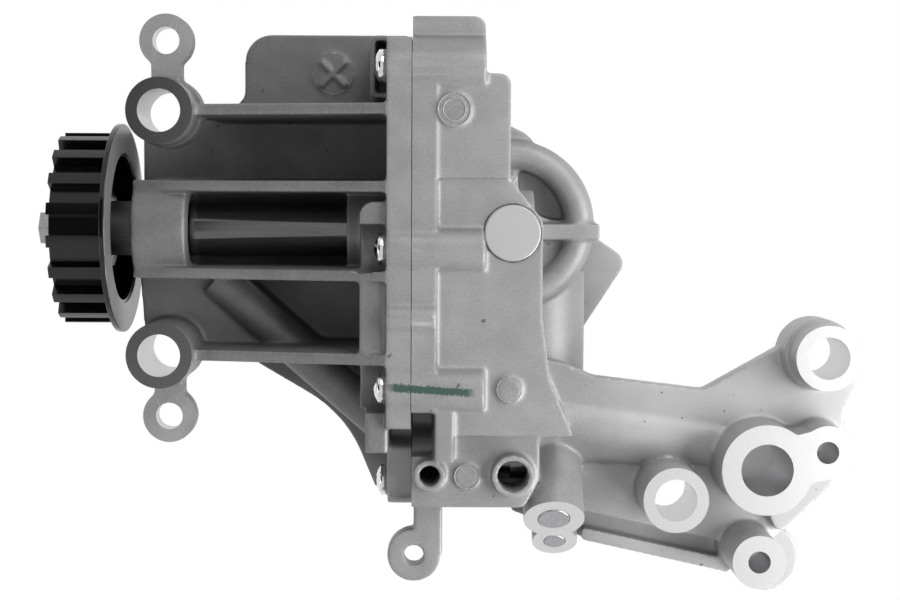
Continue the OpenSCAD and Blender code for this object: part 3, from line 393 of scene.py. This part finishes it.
def castBar(place, level, shape, turn):
    length, width, sunk, proud = shape["length"], shape["width"], shape["sunk"], shape["proud"]
    bar = boxCutter((-length / 2, -width / 2, -sunk), (length / 2, width / 2, proud))
    bpy.ops.object.transform_apply(location=False, rotation=False)
    applyModifier(bar, "BEVEL", width=shape["rounding"] * mm, segments=2)
    bar.rotation_euler = (0, 0, math.radians(turn))
    bar.location = Vector((*place, level + (proud - sunk) / 2)) * mm
    return bar


def joinShape(piece, operation, shape):
    applyModifier(piece, "BOOLEAN", operation=operation, solver="MANIFOLD", object=shape)
    bpy.data.objects.remove(shape)


# Cuts shapes out of a piece and leaves the given material on the cut faces
def cutAway(piece, cutters, material):
    index = list(piece.data.materials).index(material)
    for cutter in cutters:
        setMaterials(cutter, piece.data.materials)
        for face in cutter.data.polygons:
            face.material_index = index
        joinShape(piece, "DIFFERENCE", cutter)


def castOn(piece, extras):
    for extra in extras:
        setMaterials(extra, piece.data.materials)
        joinShape(piece, "UNION", extra)


# Rounds every edge a little, as the die leaves it, and thins the mesh
def finishCasting(piece, casting):
    applyModifier(piece, "REMESH", mode="VOXEL", voxel_size=casting["voxel"] * mm)
    applyModifier(piece, "SMOOTH", factor=0.5, iterations=casting["smoothing"])
    triangles = 2 * len(piece.data.polygons)
    ratio = min(1.0, casting["triangles"] / triangles)
    applyModifier(piece, "DECIMATE", ratio=ratio, use_collapse_triangulate=True)
    print(piece.name, "triangles after thinning:", len(piece.data.polygons))


# Gives the faces that pass a test another of the piece's materials
def paintFaces(piece, material, chosen):
    index = list(piece.data.materials).index(material)
    for face in piece.data.polygons:
        if chosen(face):
            face.material_index = index


def shadeByAngle(piece, degrees=meshing["softAngle"]):
    takeUp(piece)
    bpy.ops.object.shade_smooth_by_angle(angle=math.radians(degrees))


# Front housing: the ribbed nose casting. A cut is a box by two corners, or a rod by two ends and a radius.
housing = {
    "voxel": 0.5, "smoothing": 7, "triangles": 180000,
    "seamLevel": 88, "flange": 81.2, "blockFace": 20.0, "earFace": 9.0,
    "pad": (65.5, 43.0), "wing": -6.0, "padRing": (5.6, 0.28), "padBarTurns": (45, 135),
    "padBar": {"length": 9.6, "width": 1.1, "sunk": 1, "proud": 0.8, "rounding": 0.3},
    "blockFaceCut": ((5, -42.1, 20), (32, 40.2, 24)),
    "earFaceCuts": [((12, 40.5, 9), (31, 60, 12)), ((12, -60, 9), (31, -42.3, 12))],
    "seamCut": ((87.9, -90, -60), (92, 70, 50)),
    "shaftBores": [((11, 0, 0), (28.4, 0, 0), 9.52), ((70, 0, 0), (90, 0, 0), 7.62)],
    "uprightBores": {
        "blockBolts": {"places": [(21.4, 31.4), (21.0, -33.3)], "levels": (-40, 24), "radius": 5.66},
        "ears": {"places": [(21.6, 50.6), (21.9, -50.9)], "levels": (0, 12), "radius": 3.62},
    },
}
housingPiece = copyOfNode(
    "front_housing", "housingCasting", housingCast, milledFace, shadedMilledFace, bodyCast)
growFaces(housingPiece, (1, 0, 0), housing["seamLevel"])
growFaces(housingPiece, (0, 0, 1), housing["blockFace"])
growFaces(housingPiece, (0, 0, 1), housing["earFace"])
finishCasting(housingPiece, housing)
paintFaces(housingPiece, bodyCast, lambda face: face.center.x > housing["flange"] * mm and face.center.z > 0)
castOn(housingPiece, [castRing(housing["pad"], housing["wing"], *housing["padRing"])])
castOn(housingPiece, [castBar(housing["pad"], housing["wing"], housing["padBar"], turn)
                      for turn in housing["padBarTurns"]])
# The housing's block face gets the milled aluminium with painted shade
cutAway(housingPiece, [boxCutter(*housing["blockFaceCut"])], shadedMilledFace)
cutAway(housingPiece, [boxCutter(*box) for box in housing["earFaceCuts"]], bodyCast)
cutAway(housingPiece, [boxCutter(*housing["seamCut"])], milledFace)
cutAway(housingPiece, [rodCutter(*rod) for rod in housing["shaftBores"]], milledFace)
for bores in housing["uprightBores"].values():
    cutAway(housingPiece, uprightRods(bores), milledFace)
shadeByAngle(housingPiece)
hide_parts("front_housing")
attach(housingPiece, "pump")
print("front housing made")


# Pump body: rotor chamber, suction dome and outlet arm in one casting
body = {
    "voxel": 0.5, "smoothing": 7, "triangles": 190000,
    "seamLevel": -88, "blockFace": 20.0, "armZone": [(140, 215), (-100, -20), (-60, 60)],
    "pads": [
        {"place": (98.9, 31.6), "disc": (24, 28.2, 4.5, 0.3),
         "rings": [(28.2, 4.2, 0.25), (28.2, 2.9, 0.25)]},
        {"place": (113.7, -41.2), "disc": (22, 26.5, 3.5, 0.25), "rings": [(26.5, 3.25, 0.22)]},
        {"place": (102.8, -65.2), "disc": (16, 20.6, 3.5, 0.25), "rings": [(20.6, 3.25, 0.22)]},
    ],
    "plugBosses": [
        {"place": (126.6, -77.7, 15.0), "faceRadius": 9.6, "holeRadius": 4.42},
        {"place": (127.8, -86.6, 2.0), "faceRadius": 6.9, "holeRadius": 3.1},
    ],
    "tilt": 45, "bossFaceCut": 3, "plugHole": (-8, 2),
    "castHoles": {
        "vent": {"places": [(92.9, -64.6)], "levels": (10, 28), "radius": 2.7},
        "spill": {"places": [(115.0, -64.6)], "levels": (10, 28), "radius": 4.1},
    },
    "seamCut": ((84, -78, -60), (88.1, 70, 50)), "armFaceCut": ((140, -105, 20), (220, -15, 24)),
    "rotorPocket": ((86, -2, 0), (106, -2, 0), 20.1, 128),
    "bushBore": ((105, 0, 0), (119, 0, 0), 9.06), "reliefBore": ((86, -63, 9.5), (120, -63, 9.5), 4.5),
    "uprightBores": {
        "blockBolts": {"places": [(199.1, -33.3), (158.9, -71.6)], "levels": (-60, 24), "radius": 5.66},
        "threads": {"places": [(199.3, -58.6), (181.5, -88.3)], "levels": (4, 24), "radius": 3.0},
        "outlet": {"places": [(183.2, -63.4)], "levels": (-8, 24), "radius": 7.01},
    },
}
bodyPiece = copyOfNode("pump_body", "bodyCasting", bodyCast, milledFace)
tilt = math.radians(body["tilt"])
bossAxis = Vector((0, -math.sin(tilt), math.cos(tilt)))
growFaces(bodyPiece, (-1, 0, 0), body["seamLevel"])
growFaces(bodyPiece, (0, 0, 1), body["blockFace"], body["armZone"])
for boss in body["plugBosses"]:
    growFaces(bodyPiece, bossAxis, Vector(boss["place"]).dot(bossAxis))
finishCasting(bodyPiece, body)
for pad in body["pads"]:
    castOn(bodyPiece, [castDisc(pad["place"], *pad["disc"])])
    castOn(bodyPiece, [castRing(pad["place"], *ring) for ring in pad["rings"]])
for boss in body["plugBosses"]:
    place = Vector(boss["place"])
    start, end = body["plugHole"]
    cutAway(bodyPiece, [
        rodCutter(place, place + body["bossFaceCut"] * bossAxis, boss["faceRadius"]),
        rodCutter(place + start * bossAxis, place + end * bossAxis, boss["holeRadius"]),
    ], milledFace)
for bores in body["castHoles"].values():
    cutAway(bodyPiece, uprightRods(bores), bodyCast)
cutAway(bodyPiece, [boxCutter(*body["seamCut"]), boxCutter(*body["armFaceCut"])], milledFace)
cutAway(bodyPiece, [rodCutter(*body[rod]) for rod in ("rotorPocket", "bushBore", "reliefBore")], milledFace)
for bores in body["uprightBores"].values():
    cutAway(bodyPiece, uprightRods(bores), milledFace)
shadeByAngle(bodyPiece)
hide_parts("pump_body")
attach(bodyPiece, "pump")
print("pump body made")


# The small turned, pressed and bought parts keep their CAD shape, with broken edges
def edgedCopy(nodeName, pieceName, material, bodyName, slotName, edge, softAngle=meshing["softAngle"]):
    piece = copyOfNode(nodeName, pieceName, material)
    if edge:
        flat = math.radians(meshing["flatWithin"])
        editWhole(piece, bpy.ops.mesh.dissolve_limited, angle_limit=flat)
        applyModifier(piece, "BEVEL", width=edge * mm, segments=2, limit_method="ANGLE",
                      angle_limit=math.radians(meshing["bevelFrom"]))
    shadeByAngle(piece, softAngle)
    applyModifier(piece, "WEIGHTED_NORMAL", keep_sharp=True)
    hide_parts(nodeName)
    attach(piece, bodyName)
    return piece


# Node, piece, material, body, slot, width of the broken edge and, for the screws, a wider soft angle
smallParts = [
    ("drive_pulley", "toothedPulley", pulleyBlack, "shaft", "black_pulley", 0.25),
    ("pulley_flange", "guideFlange", flangeBlack, "shaft", "flange_steel", 0.3),
    ("pulley_bolt", "pulleyBolt", turnedSteel, "shaft", "plated_steel", 0.25),
    ("pulley_washer", "pulleyWasher", zincPlate, "shaft", "plated_steel", 0.2),
    ("drive_shaft", "driveShaft", groundSteel, "shaft", "turned_steel", 0.3),
    ("housing_screws", "seamScrews", zincPlate, "pump", "plated_steel", 0, 55),
    ("core_plug", "corePlug", pressedPlug, "pump", "plug_metal", 0.5),
    ("gallery_plug_large", "galleryPlugLarge", turnedSteel, "pump", "turned_steel", 0.4),
    ("gallery_plug_small", "galleryPlugSmall", turnedSteel, "pump", "turned_steel", 0.4),
]
made = {part[0]: edgedCopy(*part) for part in smallParts}

# The black guide flange's face towards the housing gets a painted reflection: a pale satin grey
made["pulley_flange"].data.materials.append(flangeFaceReflection)
paintFaces(made["pulley_flange"], flangeFaceReflection, lambda face: face.normal.x > 0.8)
print("small parts made")

# What hardly shows keeps its CAD mesh and gets the finish of the real one
innerFinishes = {
    "pulley_key": turnedSteel, "rotor_key": turnedSteel, "front_bush": bushBronze, "rear_bush": bushBronze,
    "inner_rotor": sinteredSteel, "outer_rotor": sinteredSteel, "dowel_pins": turnedSteel,
    "relief_piston": groundSteel, "relief_spring_seat": turnedSteel,
}
for nodeName, material in innerFinishes.items():
    setMaterials(nodes[nodeName], [material])

# The relief spring gets a piece of its own, with its own copy of the mesh
springPiece = copyOfNode("relief_spring", "reliefSpring", turnedSteel)
shadeByAngle(springPiece)
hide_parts("relief_spring")
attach(springPiece, "pump")
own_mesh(springPiece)
print("inner parts finished")


# Studio: a soft panel low on the right with a small one by the arm, and weaker ones above and on the left
lamps = {
    "keyPanel": {"place": (515, -75, 325), "aim": (130, -20, 0), "size": 330, "power": 2.4},
    "armPanel": {"place": (390, -260, 110), "aim": (190, -50, 0), "size": 110, "power": 0.9},
    "topPanel": {"place": (300, 420, 380), "aim": (110, 10, 0), "size": 320, "power": 1.4},
    "leftPanel": {"place": (-420, -120, 380), "aim": (60, 0, 0), "size": 300, "power": 0.5},
}
for lampName, lamp in lamps.items():
    light = bpy.data.objects.new(lampName, bpy.data.lights.new(lampName, "AREA"))
    scene.collection.objects.link(light)
    light.data.size = lamp["size"] * mm
    light.data.energy = lamp["power"]
    light.location = Vector(lamp["place"]) * mm
    direction = Vector(lamp["aim"]) - Vector(lamp["place"])
    light.rotation_euler = direction.to_track_quat("-Z", "Y").to_euler()


# 1 for a ray from the camera, from a reflection or through glass
def seenDirectly(tree):
    path = addNode(tree, "ShaderNodeLightPath").outputs
    glossy = calculate(tree, "MAXIMUM", path["Is Glossy Ray"], path["Is Transmission Ray"])
    return calculate(tree, "MAXIMUM", path["Is Camera Ray"], glossy)


# The world and the table are plain white where they are seen and light the part less than that
studio = {"ambient": 0.32, "table": 0.8, "tableSize": 6, "tablePlace": (100, 0, -44.3)}
world = bpy.data.worlds.new("studioWorld")
scene.world = world
world.use_nodes = True
tree = world.node_tree
tree.nodes.clear()
strength = mapRange(tree, seenDirectly(tree), (0, 1), (studio["ambient"], 1))
background = addNode(tree, "ShaderNodeBackground", {"Strength": strength})
addNode(tree, "ShaderNodeOutputWorld", {"Surface": background.outputs["Background"]})

bpy.ops.object.select_all(action="DESELECT")
bpy.ops.mesh.primitive_plane_add(size=studio["tableSize"], location=Vector(studio["tablePlace"]) * mm)
floor = bpy.context.active_object
floor.name = "whiteTable"
material, tree = emptyMaterial("whiteTable")
cloth = addNode(tree, "ShaderNodeBsdfDiffuse", inputs={"Color": (*[studio["table"]] * 3, 1)})
glow = addNode(tree, "ShaderNodeEmission", inputs={"Color": (1, 1, 1, 1)})
mix = addNode(tree, "ShaderNodeMixShader", {"Fac": seenDirectly(tree)})
tree.links.new(cloth.outputs["BSDF"], mix.inputs[1])
tree.links.new(glow.outputs["Emission"], mix.inputs[2])
addNode(tree, "ShaderNodeOutputMaterial", {"Surface": mix.outputs["Shader"]})
floor.data.materials.append(material)

# A dark flag over the top left, seen only in what polished faces reflect
flag = {
    "low": (-460, -75), "high": (-40, 300), "level": 470, "grey": "0c0c0c",
    "unseenBy": ("camera", "diffuse", "shadow", "transmission", "volume_scatter"),
}
low, high = Vector(flag["low"]) * mm, Vector(flag["high"]) * mm
bpy.ops.object.select_all(action="DESELECT")
bpy.ops.mesh.primitive_plane_add(size=1, location=(*((low + high) / 2), flag["level"] * mm))
darkFlag = bpy.context.active_object
darkFlag.name = "darkFlag"
darkFlag.scale = (high.x - low.x, high.y - low.y, 1)
for ray in flag["unseenBy"]:
    setattr(darkFlag, "visible_" + ray, False)
material, tree = emptyMaterial("darkFlag")
felt = addNode(tree, "ShaderNodeBsdfDiffuse", inputs={"Color": linearColour(flag["grey"])})
addNode(tree, "ShaderNodeOutputMaterial", {"Surface": felt.outputs["BSDF"]})
darkFlag.data.materials.append(material)
scene.view_settings.view_transform = "Standard"
print("studio set")
